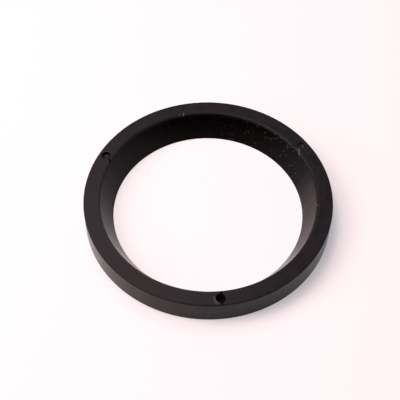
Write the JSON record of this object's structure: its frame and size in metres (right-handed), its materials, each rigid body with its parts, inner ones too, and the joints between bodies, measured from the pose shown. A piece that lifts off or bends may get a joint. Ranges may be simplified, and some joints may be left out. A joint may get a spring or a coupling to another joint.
{
  "type": "oil seal ring",
  "caption": "Flat moulded rubber seal ring with a straight outer wall, a bore that tapers in towards its lower face and small blind dimples in its upper face.",
  "frame": {"origin": "on the ring's axis, in the plane of its lower face, on which it lies", "axes": "+Z along the ring's axis, up towards the face with the dimples and the wide mouth of the bore"},
  "size_m": [0.073, 0.073, 0.008],
  "materials": {
    "nitrile_rubber": "matt, as moulded"
  },
  "bodies": {
    "root": {"seal_ring": "nitrile_rubber"}
  },
  "joints": []
}
